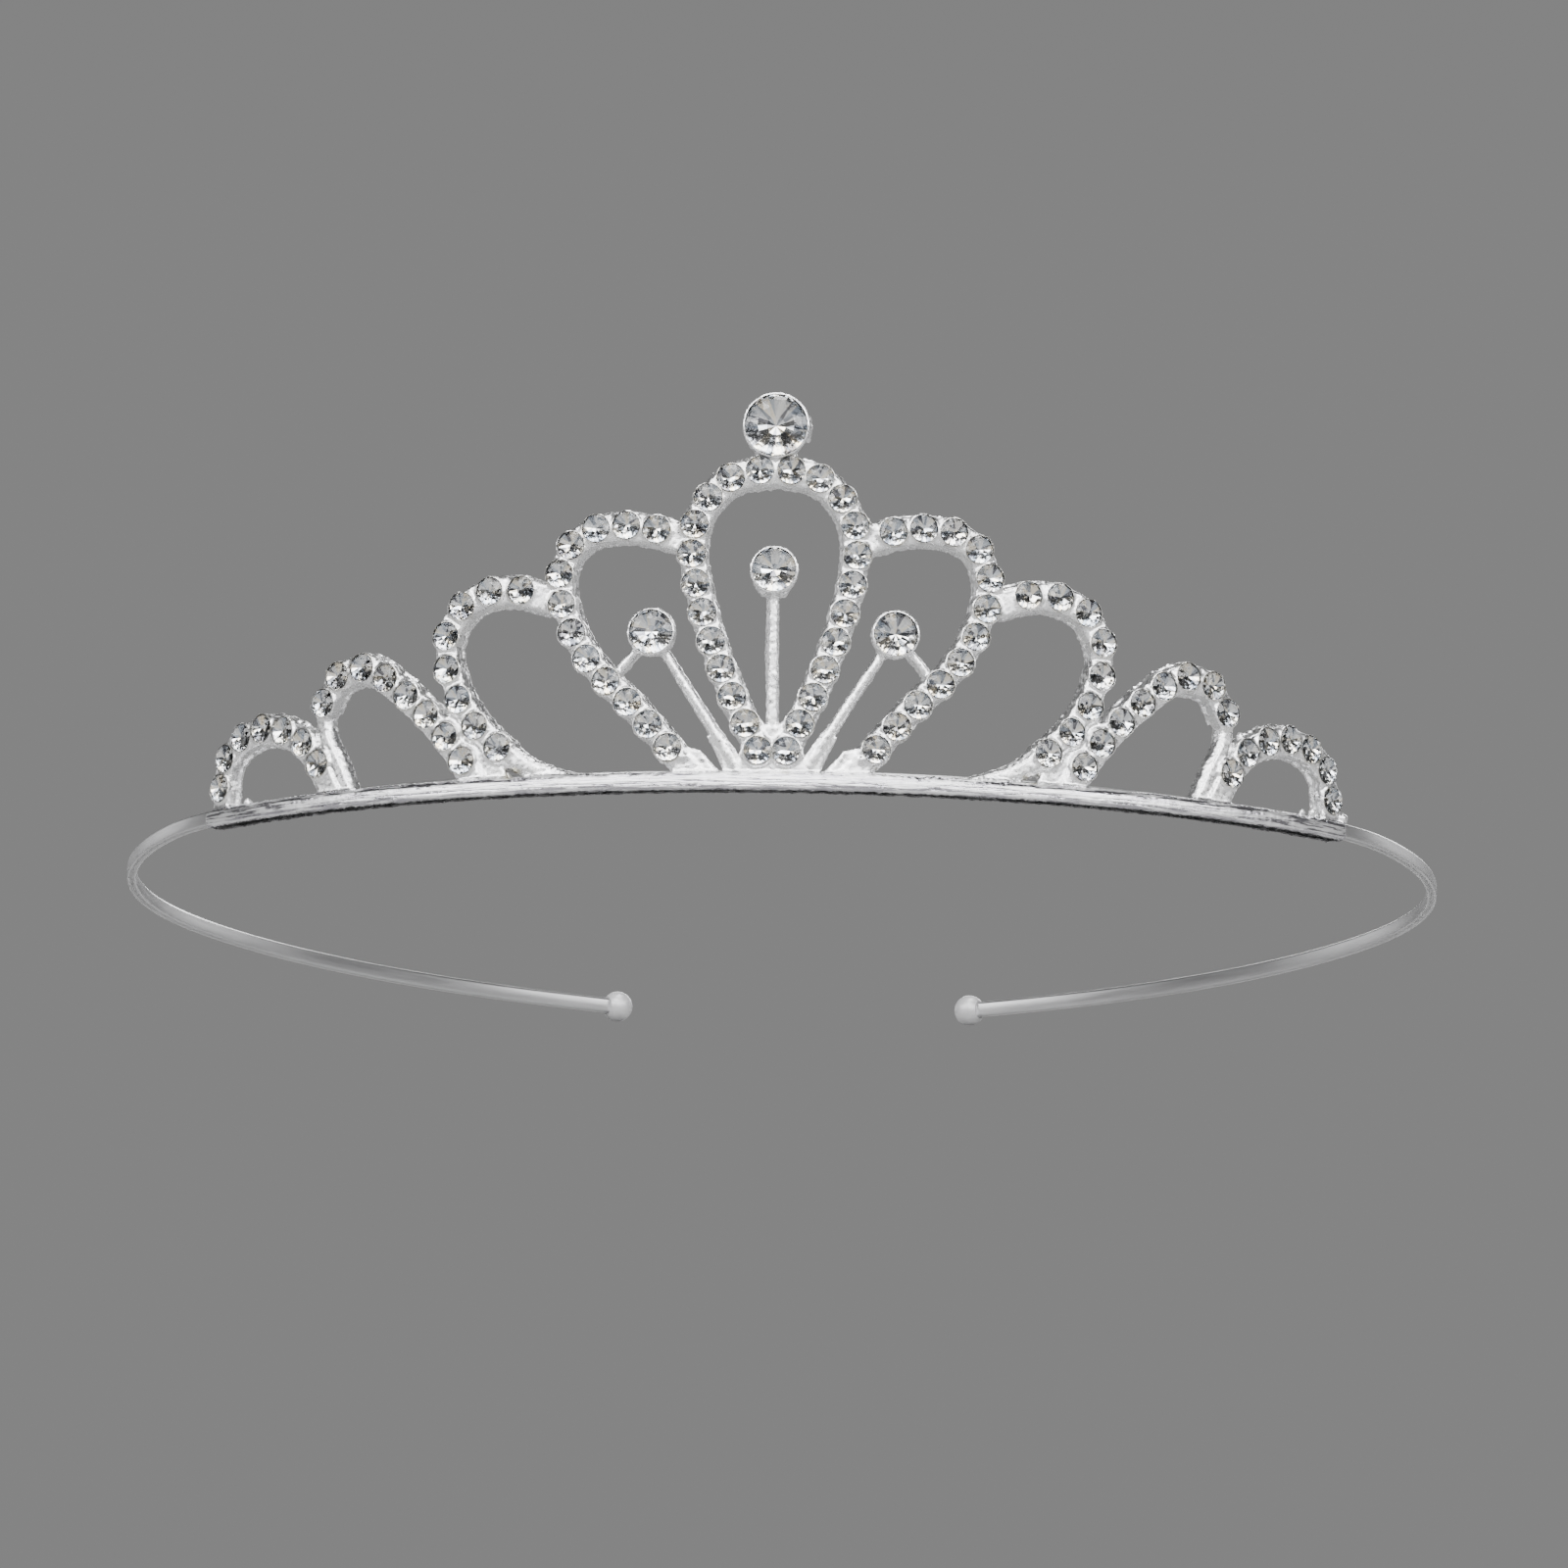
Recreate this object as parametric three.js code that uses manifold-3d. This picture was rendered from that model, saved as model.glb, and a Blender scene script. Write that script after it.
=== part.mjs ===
// Bridal tiara: a cast openwork front of nine arches set with crystal stones,
// fixed to a spring-steel headband that ends in two ball tips.
// Millimetres. +Z is up, the front of the tiara faces -Y, and Z = 0 is the table it stands on.
// The origin lies under the middle of the whole object's box.
//
// The casting is drawn flat: u runs along the rail, v is height, and w is depth, with w = 0 on
// the front face and outwards positive. Each piece of it is then bent round the rail's arc.

import * as THREE from "three";
import { mergeVertices } from "three/addons/utils/BufferGeometryUtils.js";
import Module from "manifold-3d";

const wasm = await Module();
wasm.setup();

// ---- Driving dimensions ----

const BEND_RADIUS = 76; // plan radius of the casting's front face
const CAST_DEPTH = 1.8; // front face to back face of the arches
const RIBBON_WIDTH = 3.2; // face width of an arch that carries stones
const RAIL_HALF_LENGTH = 67; // measured along the arc
const RAIL_HEIGHT = 1.9;
const RAIL_FRONT = 0.5; // how far the rail stands in front of the arches
const RAIL_BACK = -1.9; // just behind the back of the arches
const FOOT_LEVEL = 0.5; // how low the arches' feet reach inside the rail
const LOOP_TRIM = 3.9; // where the centre loop's two ends stop, above the pad that joins them
const RAIL_STEPS = 40;
const PATH_STEP = 1.6; // spacing of outline points along an arch

const BAND_THICKNESS = 1;
const BAND_HEIGHT = 1.6;
const BALL_RADIUS = 1.65;
const TIP_SLOT_DEPTH = 1.6; // how far the strip runs into a ball
const BAND_MID_HEIGHT = BALL_RADIUS; // so that rail and balls rest on the same plane
const SOLDER_GAP = 0.05; // clearance between the band and the rail's back

const SMALL_STONE = { radius: 1.35, sides: 8, rise: 0.55, depth: 0.95 };
const PIN_STONE = { radius: 2.3, sides: 12, rise: 0.95, depth: 1.5 };
const TOP_STONE = { radius: 3.35, sides: 16, rise: 1.3, depth: 1.9 };
const POCKET_CLEARANCE = 0.08;
const POCKET_DEPTH = 1.15;
const POCKET_OVERRUN = 1; // how far a pocket's cutter runs out in front
const SMALL_GIRDLE = 0.1; // depth of the small stones' girdles, just proud of the arches
const CUP_WALL = 0.3;
const CUP_RISE = 0.6; // how far the pin and top cups stand in front of the arches
const CUP_FLOOR = 0.4; // thickness of metal left under a cup's stone

// Each arch is a spline through a few centreline points, from its upper or inner end outwards.
// leadIn is a point before the first that only sets the direction in which the spline starts.
// firstStone and lastStone are how far in from each end the row of stones runs. step is how far
// the arch's faces lie behind its neighbours', so that overlapping arches show an edge.
// The same list serves both sides of the tiara.
const ARCHES = [
  {
    name: "centre_loop",
    step: 0,
    stones: 12,
    firstStone: 1.6,
    lastStone: 2.8,
    leadIn: [-4.6, 32.4],
    points: [
      [0, 33.3], [4.6, 32.4], [7.6, 29.2], [8.5, 24.6],
      [7, 17.4], [4.3, 10.1], [1.5, 4.2], [0.8, 1.4],
    ],
  },
  {
    name: "second_arch",
    step: 0.12,
    stones: 12,
    firstStone: 3,
    lastStone: 4.8,
    points: [
      [9.3, 26.3], [14.2, 27.5], [19, 27.2], [21.9, 24.6],
      [22.2, 20], [19.4, 13.9], [13.8, 8], [7.6, 0.8],
    ],
  },
  {
    name: "third_arch",
    step: 0,
    stones: 8,
    firstStone: 3.4,
    lastStone: 1.2,
    points: [[23.3, 20.3], [28.2, 21.5], [32.8, 20.3], [35.1, 16.4], [34.2, 11.7], [31.4, 7.3], [28, 4.3]],
  },
  {
    name: "fourth_arch",
    step: 0.12,
    stones: 8,
    firstStone: 3.8,
    lastStone: 0.3,
    points: [[30.8, 0.8], [35.4, 7.1], [40.5, 11.9], [44.6, 14.4], [48.4, 13.8], [50.3, 11]],
  },
  {
    name: "fifth_arch",
    step: 0,
    stones: 7,
    firstStone: 4.9,
    lastStone: 3.1,
    points: [[48.3, 0.8], [52.2, 6.8], [57, 9.3], [61.6, 9], [64.8, 6.4], [65.4, 0.9]],
  },
];
const ARCHES_WITH_STONE_NODES = ["centre_loop", "second_arch"];

// Metal that carries no stones: [u, v] points along its middle, with the face width at each end
// and the depths of its back and front.
const BARE_STRIPS = [
  {
    points: [[50.4, 11.4], [50.2, 8], [48.4, 4.8], [46.5, 0.9]],
    widths: [2.2, 2],
    back: -1.65,
    front: -0.2,
  },
  { points: [[29.4, 5.4], [25.4, 2.9], [19.4, 1.5]], widths: [3.2, 0.5], back: -1.65, front: -0.08 },
  { points: [[12, 15.6], [2.9, 1.4]], widths: [0.95, 1.2], back: -1.5, front: -0.25 },
  { points: [[13.2, 15.7], [16.6, 11.9]], widths: [0.95, 1.1], back: -1.5, front: -0.25 },
];
const CENTRE_STEM = { points: [[0, 21], [0, 4]], widths: [0.95, 1.3], back: -1.5, front: -0.25 };

// Webs that fill the corners where legs and cups meet, as corner points.
const SIDE_WEBS = [
  {
    corners: [[27, FOOT_LEVEL], [29.6, 5], [33.6, 9], [36.8, 9.8], [33.4, 5.4], [33.4, FOOT_LEVEL]],
    front: -0.35,
  },
  { corners: [[45.4, FOOT_LEVEL], [47.2, 3.6], [50.2, 5], [51.4, 3.4], [50.8, FOOT_LEVEL]], front: -0.35 },
  { corners: [[63.2, FOOT_LEVEL], [64.4, 3.4], [66.4, 3.4], [66.8, FOOT_LEVEL]], front: -0.35 },
];
const MIDDLE_WEBS = [
  {
    corners: [
      [-3.4, FOOT_LEVEL], [-3.3, 5], [-2.2, 8], [0, 6.4], [2.2, 8], [3.3, 5], [3.4, FOOT_LEVEL],
    ],
    front: -0.15,
  },
  { corners: [[-3, 34], [-2.3, 36], [2.3, 36], [3, 34]], front: -0.3 },
];
const WEB_BACK = -1.55; // webs stop short of the arches' back faces
const CUP_BACK = -1.75; // and so, by less, do the large cups

const PINS = [
  { name: "centre_pin_stone", u: 0, v: 22.8 },
  { name: "left_pin_stone", u: -12.5, v: 16.4 },
  { name: "right_pin_stone", u: 12.5, v: 16.4 },
];
const TOP = { name: "top_stone", u: 0, v: 37.8 };

// The headband in plan, from the front centre round to one tip: tangent arcs as
// [radius, degrees turned].
const BAND_FRONT_RADIUS = BEND_RADIUS + RAIL_BACK - SOLDER_GAP - BAND_THICKNESS / 2;
const BAND_ARCS = [[BAND_FRONT_RADIUS, 50.6], [38, 19], [88, 20.4], [82, 20], [108, 38]];
const BAND_STEP = 4; // degrees between points on the band's outline

// ---- Materials ----

const plating = () => new THREE.MeshStandardMaterial({ color: 0xe4e5e8, roughness: 0.28, metalness: 1 });
const steel = () => new THREE.MeshStandardMaterial({ color: 0xb9babd, roughness: 0.32, metalness: 1 });
const enamel = () => new THREE.MeshStandardMaterial({ color: 0xc9cacc, roughness: 0.4, metalness: 0.4 });
const crystal = () => new THREE.MeshStandardMaterial({ color: 0xe9edf2, roughness: 0.03, metalness: 0.1 });

// ---- Booleans ----

function toManifold(geometry) {
  const bare = geometry.clone();
  bare.deleteAttribute("normal");
  bare.deleteAttribute("uv");
  const merged = mergeVertices(bare, 1e-5);
  return new wasm.Manifold(
    new wasm.Mesh({
      numProp: 3,
      vertProperties: new Float32Array(merged.attributes.position.array),
      triVerts: new Uint32Array(merged.index.array),
    }),
  );
}

function toGeometry(manifold) {
  const mesh = manifold.getMesh();
  const geometry = new THREE.BufferGeometry();
  geometry.setAttribute("position", new THREE.BufferAttribute(new Float32Array(mesh.vertProperties), 3));
  geometry.setIndex(new THREE.BufferAttribute(new Uint32Array(mesh.triVerts), 1));
  return geometry;
}

// ---- Bending the flat drawing round the rail's arc ----

// From u, v, w to the assembled frame, before the origin is centred.
function bent(u, v, w) {
  const angle = u / BEND_RADIUS;
  const radius = BEND_RADIUS + w;
  return new THREE.Vector3(radius * Math.sin(angle), BEND_RADIUS - radius * Math.cos(angle), v);
}

function bendGeometry(geometry) {
  const position = geometry.attributes.position;
  for (let i = 0; i < position.count; i += 1) {
    const point = bent(position.getX(i), position.getY(i), position.getZ(i));
    position.setXYZ(i, point.x, point.y, point.z);
  }
  return geometry;
}

// A bent slab between two depths with the given outline in u and v.
function slab(outline, back, front) {
  const geometry = new THREE.ExtrudeGeometry(new THREE.Shape(outline), {
    depth: front - back,
    bevelEnabled: false,
  });
  geometry.translate(0, 0, back);
  return bendGeometry(geometry);
}

// ---- Casting ----

// A spline through flat points, mirrored to the left when side is -1, measured by distance.
function centreline({ points, leadIn }, side) {
  const through = leadIn ? [leadIn, ...points] : points;
  const curve = new THREE.SplineCurve(through.map(([u, v]) => new THREE.Vector2(side * u, v)));
  const divisionsPerSpan = 40;
  const lengths = curve.getLengths(divisionsPerSpan * (through.length - 1));
  const start = leadIn ? lengths[divisionsPerSpan] : 0;
  const total = lengths.at(-1);
  return {
    length: total - start,
    pointAt: (distance) => curve.getPointAt((start + distance) / total),
    tangentAt: (distance) => curve.getTangentAt((start + distance) / total),
  };
}

// A strip of changing width that follows a centreline, cut level where it stands in the rail.
function ribbon(line, [startWidth, endWidth], back, front, trim = 0) {
  const length = line.length - 2 * trim;
  const steps = Math.round(length / PATH_STEP);
  const left = [];
  const right = [];
  for (let i = 0; i <= steps; i += 1) {
    const distance = trim + (length * i) / steps;
    const centre = line.pointAt(distance);
    const tangent = line.tangentAt(distance);
    const half = THREE.MathUtils.lerp(startWidth, endWidth, i / steps) / 2;
    const across = new THREE.Vector2(-tangent.y, tangent.x).multiplyScalar(half);
    left.push(centre.clone().add(across));
    right.push(centre.clone().sub(across));
  }
  const outline = [...left, ...right.reverse()];
  for (const point of outline) {
    point.y = Math.max(point.y, FOOT_LEVEL);
  }
  return slab(outline, back, front);
}

// The centre loop is one ribbon over the top, from foot to foot.
function centreLoop({ points }) {
  const mirrored = points.slice(1).reverse().map(([u, v]) => [-u, v]);
  const line = centreline({ points: [...mirrored, ...points] }, 1);
  return ribbon(line, [RIBBON_WIDTH, RIBBON_WIDTH], -CAST_DEPTH, 0, LOOP_TRIM);
}

// A web with straight edges.
function web({ corners, front }, side) {
  return slab(corners.map(([u, v]) => new THREE.Vector2(side * u, v)), WEB_BACK, front);
}

// A round boss or pocket whose axis runs square through the bent face.
function disc(u, v, radius, sides, back, front) {
  const geometry = new THREE.CylinderGeometry(radius, radius, front - back, sides);
  geometry.rotateZ(u / BEND_RADIUS);
  return placed(geometry, u, v, (front + back) / 2);
}

function placed(geometry, u, v, w) {
  const place = bent(u, v, w);
  return geometry.translate(place.x, place.y, place.z);
}

// Where an arch's stones sit: evenly spaced along its centreline.
function stonePlaces(arch, side) {
  const line = centreline(arch, side);
  const pitch = (line.length - arch.firstStone - arch.lastStone) / (arch.stones - 1);
  return Array.from({ length: arch.stones }, (_, i) => line.pointAt(arch.firstStone + i * pitch));
}

// The rail's section, rounded along its front, drawn out to its full length and bent.
function railSolid() {
  const round = RAIL_HEIGHT * 0.3;
  const section = new THREE.Shape();
  section.moveTo(-RAIL_BACK, 0);
  section.lineTo(-RAIL_BACK, RAIL_HEIGHT);
  section.lineTo(-RAIL_FRONT + round, RAIL_HEIGHT);
  section.quadraticCurveTo(-RAIL_FRONT, RAIL_HEIGHT, -RAIL_FRONT, RAIL_HEIGHT - round);
  section.lineTo(-RAIL_FRONT, round);
  section.quadraticCurveTo(-RAIL_FRONT, 0, -RAIL_FRONT + round, 0);
  const geometry = new THREE.ExtrudeGeometry(section, {
    depth: 2 * RAIL_HALF_LENGTH,
    steps: RAIL_STEPS,
    bevelEnabled: false,
    curveSegments: 3,
  });
  // The section's x runs backwards through the depth, and its extrusion runs along u.
  geometry.applyMatrix4(
    new THREE.Matrix4().makeBasis(
      new THREE.Vector3(0, 0, -1),
      new THREE.Vector3(0, 1, 0),
      new THREE.Vector3(1, 0, 0),
    ),
  );
  geometry.translate(-RAIL_HALF_LENGTH, 0, 0);
  return bendGeometry(geometry);
}

// One side's arches, bare strips and webs.
function sideSolids(side) {
  const width = [RIBBON_WIDTH, RIBBON_WIDTH];
  const arches = ARCHES.slice(1).map((arch) => {
    return ribbon(centreline(arch, side), width, -CAST_DEPTH + arch.step, -arch.step);
  });
  const strips = BARE_STRIPS.map((strip) => {
    return ribbon(centreline(strip, side), strip.widths, strip.back, strip.front);
  });
  return [...arches, ...strips, ...SIDE_WEBS.map((shape) => web(shape, side))];
}

// A stone's cup: boss, then pocket.
function cup(place, stone) {
  const outer = stone.radius + POCKET_CLEARANCE + CUP_WALL;
  return disc(place.u, place.v, outer, stone.sides * 2, CUP_BACK, CUP_RISE);
}

function cupPocket(place, stone) {
  const radius = (stone.radius + POCKET_CLEARANCE) / Math.cos(Math.PI / stone.sides / 2);
  return disc(place.u, place.v, radius, stone.sides * 2, CUP_BACK + CUP_FLOOR, CUP_RISE + POCKET_OVERRUN);
}

function castingGeometry() {
  const solids = [
    ...sideSolids(1),
    ...sideSolids(-1),
    centreLoop(ARCHES[0]),
    ribbon(centreline(CENTRE_STEM, 1), CENTRE_STEM.widths, CENTRE_STEM.back, CENTRE_STEM.front),
    ...MIDDLE_WEBS.map((shape) => web(shape, 1)),
    cup(TOP, TOP_STONE),
    ...PINS.map((pin) => cup(pin, PIN_STONE)),
  ];
  const smallRadius = (SMALL_STONE.radius + POCKET_CLEARANCE) / Math.cos(Math.PI / SMALL_STONE.sides);
  const pockets = [cupPocket(TOP, TOP_STONE), ...PINS.map((pin) => cupPocket(pin, PIN_STONE))];
  for (const side of [1, -1]) {
    for (const arch of ARCHES) {
      for (const place of stonePlaces(arch, side)) {
        const { x, y } = place;
        pockets.push(disc(x, y, smallRadius, SMALL_STONE.sides, -POCKET_DEPTH, POCKET_OVERRUN));
      }
    }
  }
  let casting = toManifold(railSolid());
  for (const solid of solids) {
    casting = casting.add(toManifold(solid));
  }
  for (const pocket of pockets) {
    casting = casting.subtract(toManifold(pocket));
  }
  return toGeometry(casting);
}

// ---- Stones ----

// A chaton: pointed underneath, straight at the girdle, flat on top, facing +Y.
function stoneGeometry({ radius, sides, rise, depth }) {
  const girdle = 0.12 * radius;
  const profile = [
    new THREE.Vector2(0, -depth),
    new THREE.Vector2(radius, -girdle),
    new THREE.Vector2(radius, 0),
    new THREE.Vector2(0.55 * radius, rise),
    new THREE.Vector2(0, rise),
  ];
  return new THREE.LatheGeometry(profile, sides);
}

// A stone standing square to the bent face, with its girdle at depth w.
function stoneMesh(name, stone, u, v, w) {
  const geometry = stoneGeometry(stone).rotateX(Math.PI);
  const mesh = new THREE.Mesh(geometry, crystal());
  mesh.name = name;
  mesh.position.copy(bent(u, v, w));
  mesh.rotation.z = u / BEND_RADIUS;
  return mesh;
}

// ---- Headband ----

// Points along one half of the band at the given sideways offset, from the front centre to the tip.
function bandSide(offset) {
  const points = [];
  let centre = new THREE.Vector2(0, 0);
  let heading = 0;
  for (const [radius, turn] of BAND_ARCS) {
    const steps = Math.ceil(turn / BAND_STEP);
    for (let i = 0; i < steps; i += 1) {
      points.push(bandPoint(centre, heading, radius, (turn * i) / steps, offset));
    }
    centre = bandPoint(centre, heading, radius, turn, 0);
    heading += turn;
  }
  points.push(bandPoint(centre, heading, 1, 0, offset));
  return points;
}

// The point reached by turning left round an arc from a start point and heading, in degrees.
function bandPoint(start, heading, radius, turn, offset) {
  const from = THREE.MathUtils.degToRad(heading);
  const to = THREE.MathUtils.degToRad(heading + turn);
  return new THREE.Vector2(
    start.x + radius * (Math.sin(to) - Math.sin(from)) - offset * Math.sin(to),
    start.y + radius * (Math.cos(from) - Math.cos(to)) + offset * Math.cos(to),
  );
}

// The whole strip, mirrored about the front centre and lifted to its height.
function bandGeometry() {
  const outer = bandSide(-BAND_THICKNESS / 2);
  const inner = bandSide(BAND_THICKNESS / 2);
  const mirrored = (points) => points.slice(1).reverse().map((p) => new THREE.Vector2(-p.x, p.y));
  const outline = [...mirrored(outer), ...outer, ...inner.slice().reverse(), ...mirrored(inner).reverse()];
  const geometry = new THREE.ExtrudeGeometry(new THREE.Shape(outline), {
    depth: BAND_HEIGHT,
    bevelEnabled: false,
  });
  geometry.translate(0, BEND_RADIUS - BAND_FRONT_RADIUS, BAND_MID_HEIGHT - BAND_HEIGHT / 2);
  return geometry;
}

// A ball pushed over the strip's end, with a blind slot for the strip. It is made with the
// strip's end at X = 0, pointing along +X, and then turned to the arm's own heading.
function ballTip(side) {
  const end = bandSide(0).at(-1);
  const heading = THREE.MathUtils.degToRad(BAND_ARCS.reduce((sum, [, turn]) => sum + turn, 0));
  const ball = new THREE.SphereGeometry(BALL_RADIUS, 20, 14);
  ball.translate(BALL_RADIUS - TIP_SLOT_DEPTH + SOLDER_GAP, 0, 0);
  const slotLength = 2 * BALL_RADIUS;
  const slotWidth = BAND_THICKNESS + 2 * SOLDER_GAP;
  const slotHeight = BAND_HEIGHT + 2 * SOLDER_GAP;
  const slot = new THREE.BoxGeometry(slotLength, slotWidth, slotHeight);
  slot.translate(SOLDER_GAP - slotLength / 2, 0, 0);
  const geometry = toGeometry(toManifold(ball).subtract(toManifold(slot)));
  geometry.rotateZ(side > 0 ? heading : Math.PI - heading);
  geometry.translate(side * end.x, end.y + BEND_RADIUS - BAND_FRONT_RADIUS, BAND_MID_HEIGHT);
  return geometry;
}

// ---- Assembly ----

function named(name, geometry, material) {
  const mesh = new THREE.Mesh(geometry, material);
  mesh.name = name;
  return mesh;
}

// Numbers a row of stones from the top of the tiara or the inner end outwards.
function stoneRow(arch, side) {
  const hand = side > 0 ? "right" : "left";
  return stonePlaces(arch, side).map((place, i) => {
    const name = `${arch.name}_${hand}_stone_${String(i + 1).padStart(2, "0")}`;
    return stoneMesh(name, SMALL_STONE, place.x, place.y, SMALL_GIRDLE);
  });
}

const group = new THREE.Group();
group.add(named("arch_casting", castingGeometry(), plating()));
group.add(named("headband_strip", bandGeometry(), steel()));
group.add(named("left_ball_tip", ballTip(-1), enamel()));
group.add(named("right_ball_tip", ballTip(1), enamel()));
group.add(stoneMesh(TOP.name, TOP_STONE, TOP.u, TOP.v, CUP_RISE));
for (const pin of PINS) {
  group.add(stoneMesh(pin.name, PIN_STONE, pin.u, pin.v, CUP_RISE));
}
for (const arch of ARCHES.filter(({ name }) => ARCHES_WITH_STONE_NODES.includes(name))) {
  group.add(...stoneRow(arch, 1), ...stoneRow(arch, -1));
}

// Centre the whole object's box on the origin in plan.
const box = new THREE.Box3().setFromObject(group);
group.position.set(0, -(box.min.y + box.max.y) / 2, 0);

export default group;
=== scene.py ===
"""Bridal tiara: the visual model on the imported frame.

Everything is made in millimetres and scaled to metres at the end of each piece. The casting is
drawn flat, as in the CAD source: u runs along the rail, v is height and w is depth, with w = 0
on the front face and outwards positive. Each shell is bent round the rail's arc as it is made.
"""

import math
import random

import bmesh
import bpy
import numpy as np
from mathutils import Matrix, Vector, noise


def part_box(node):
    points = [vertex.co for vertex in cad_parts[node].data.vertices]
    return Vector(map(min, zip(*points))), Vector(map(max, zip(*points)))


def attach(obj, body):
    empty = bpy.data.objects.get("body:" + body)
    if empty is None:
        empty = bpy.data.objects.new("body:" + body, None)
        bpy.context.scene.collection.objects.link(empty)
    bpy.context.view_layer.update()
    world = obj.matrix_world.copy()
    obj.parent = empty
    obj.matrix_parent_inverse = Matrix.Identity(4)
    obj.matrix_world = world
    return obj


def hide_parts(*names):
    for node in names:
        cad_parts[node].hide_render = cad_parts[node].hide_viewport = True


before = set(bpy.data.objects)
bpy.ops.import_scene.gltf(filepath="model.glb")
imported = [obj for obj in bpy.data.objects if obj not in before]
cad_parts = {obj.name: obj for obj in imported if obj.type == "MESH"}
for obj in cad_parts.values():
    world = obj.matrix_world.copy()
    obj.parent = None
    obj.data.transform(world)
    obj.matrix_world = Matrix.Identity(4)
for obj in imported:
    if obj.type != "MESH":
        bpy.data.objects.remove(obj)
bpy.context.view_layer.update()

MM = 0.001
BODY = "root"

# ---- The casting's flat drawing, in millimetres ----

BEND_RADIUS = 76.0
CAST_BACK = -1.75
RAIL_HALF_LENGTH = 67.0
RAIL_HEIGHT = 1.9
RAIL_FRONT = 0.5
RAIL_BACK = -1.9
FOOT_LEVEL = 0.5  # how low the arches and legs reach into the rail
LOOP_TRIM = 3.9  # how much metal the centre loop's two ends leave off

# The lines that the arches' stones sit on, drawn for the right half. The first stone is this far
# from a line's start and the last one this far from its end. A lead-in only steers the line.
ARCHES = {
    "centre_loop": {
        "stones": 12,
        "first": 1.6,
        "last": 2.8,
        "lead_in": (-4.6, 32.4),
        "points": [
            (0, 33.3), (4.6, 32.4), (7.6, 29.2), (8.5, 24.6),
            (7, 17.4), (4.3, 10.1), (1.5, 4.2), (0.8, 1.4),
        ],
    },
    "second_arch": {
        "stones": 12,
        "first": 3.0,
        "last": 4.8,
        "points": [
            (9.3, 26.3), (14.2, 27.5), (19, 27.2), (21.9, 24.6),
            (22.2, 20), (19.4, 13.9), (13.8, 8), (7.6, 0.8),
        ],
    },
    "third_arch": {
        "stones": 8,
        "first": 3.4,
        "last": 1.2,
        "points": [
            (23.3, 20.3), (28.2, 21.5), (32.8, 20.3), (35.1, 16.4),
            (34.2, 11.7), (31.4, 7.3), (28, 4.3),
        ],
    },
    "fourth_arch": {
        "stones": 8,
        "first": 3.8,
        "last": 0.3,
        "points": [(30.8, 0.8), (35.4, 7.1), (40.5, 11.9), (44.6, 14.4), (48.4, 13.8), (50.3, 11)],
    },
    "fifth_arch": {
        "stones": 7,
        "first": 4.9,
        "last": 3.1,
        "points": [(48.3, 0.8), (52.2, 6.8), (57, 9.3), (61.6, 9), (64.8, 6.4), (65.4, 0.9)],
    },
}
WITH_STONE_NODES = ("centre_loop", "second_arch")  # the arches whose stones are CAD nodes too

# An arch's section: (half-width inside its stones, half-width outside, depth), from its face
# back to the fin that the mould's halves leave along its rear edge.
RIBBON_SECTION = [
    (1.25, 0.85, 0.0),
    (1.43, 1.0, -0.2),
    (1.46, 1.1, -1.15),
    (1.66, 1.4, -1.35),
    (1.66, 1.4, -1.75),
]
RIBBON_STEP = 0.4
FIN_FRONT = -1.2  # what is deeper than this in the section is fin
FIN_ROUGHNESS = 0.2
FIN_WAVES = 1.7
RIBBON_CROWN = (0.22, 0.3)  # how much wider an arch is, inside and outside, where it runs level
ARCH_STEP = 0.1  # how far behind the others' faces the second and fourth arches stand

SETTING_RADIUS = 1.62
SETTING_FACE = 0.12  # how far a setting stands out of its arch's face
SETTING_CHAMFER = 0.06
POCKET_RADIUS = 1.49
POCKET_FLOOR = -1.0
POCKET_TOP = 1.0

# A strut's section: (share of its half-width, share of its depth from front to back).
STRIP_SECTION = [(-1, 0.35), (-0.55, 0), (0.55, 0), (1, 0.35), (1.1, 1), (-1.1, 1)]
STRIP_STEP = 0.5

# Metal that carries no stones: flat points, width at each end, back and front depths.
BARE_STRIPS = [
    ([(50.4, 11.4), (50.2, 8), (48.4, 4.8), (46.5, 0.9)], (2.0, 1.7), -1.65, -0.15),
    ([(29.4, 5.4), (25.4, 2.9), (19.4, 1.5)], (3.0, 0.5), -1.65, -0.08),
    ([(12, 15.6), (2.9, 1.4)], (1.0, 1.3), -1.35, -0.2),
    ([(13.2, 15.7), (16.6, 11.9)], (0.95, 1.05), -1.35, -0.2),
]
CENTRE_STEM = ([(0, 21), (0, 4)], (1.0, 1.3), -1.35, -0.15)

# Flat fillets between the legs: corners and front depth. The side ones are mirrored.
SIDE_WEBS = [
    ([(27, 0.5), (29.6, 5), (33.4, 8.8), (35.6, 8.8), (33.2, 5.4), (33.4, 0.5)], -0.35),
    ([(45.4, 0.5), (47.2, 3.4), (50.2, 5), (51.2, 3.2), (50.8, 0.5)], -0.35),
    ([(63.4, 0.5), (64.4, 3.2), (66.3, 3.2), (66.7, 0.5)], -0.35),
    ([(6.7, 5.6), (5.8, 3.9), (5.1, 2.2), (5.2, 0.5), (1.5, 0.5), (3.2, 3.4), (5.3, 6.4)], -0.35),
    ([(10.7, 0.5), (10.1, 2.6), (8.8, 4.6), (7.4, 4.2), (5.5, 2.1), (5.2, 0.5)], -0.15),
]
MIDDLE_WEBS = [
    ([(-3.4, 0.5), (-3.2, 5), (-2.2, 8), (0, 6.4), (2.2, 8), (3.2, 5), (3.4, 0.5)], -0.15),
    ([(-2.6, 33.5), (-1.9, 36), (1.9, 36), (2.6, 33.5)], -0.25),
    ([(-2.1, 21.3), (-1.3, 20.3), (1.2, 20.2), (1.7, 21.0)], 0.15),
]
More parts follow.
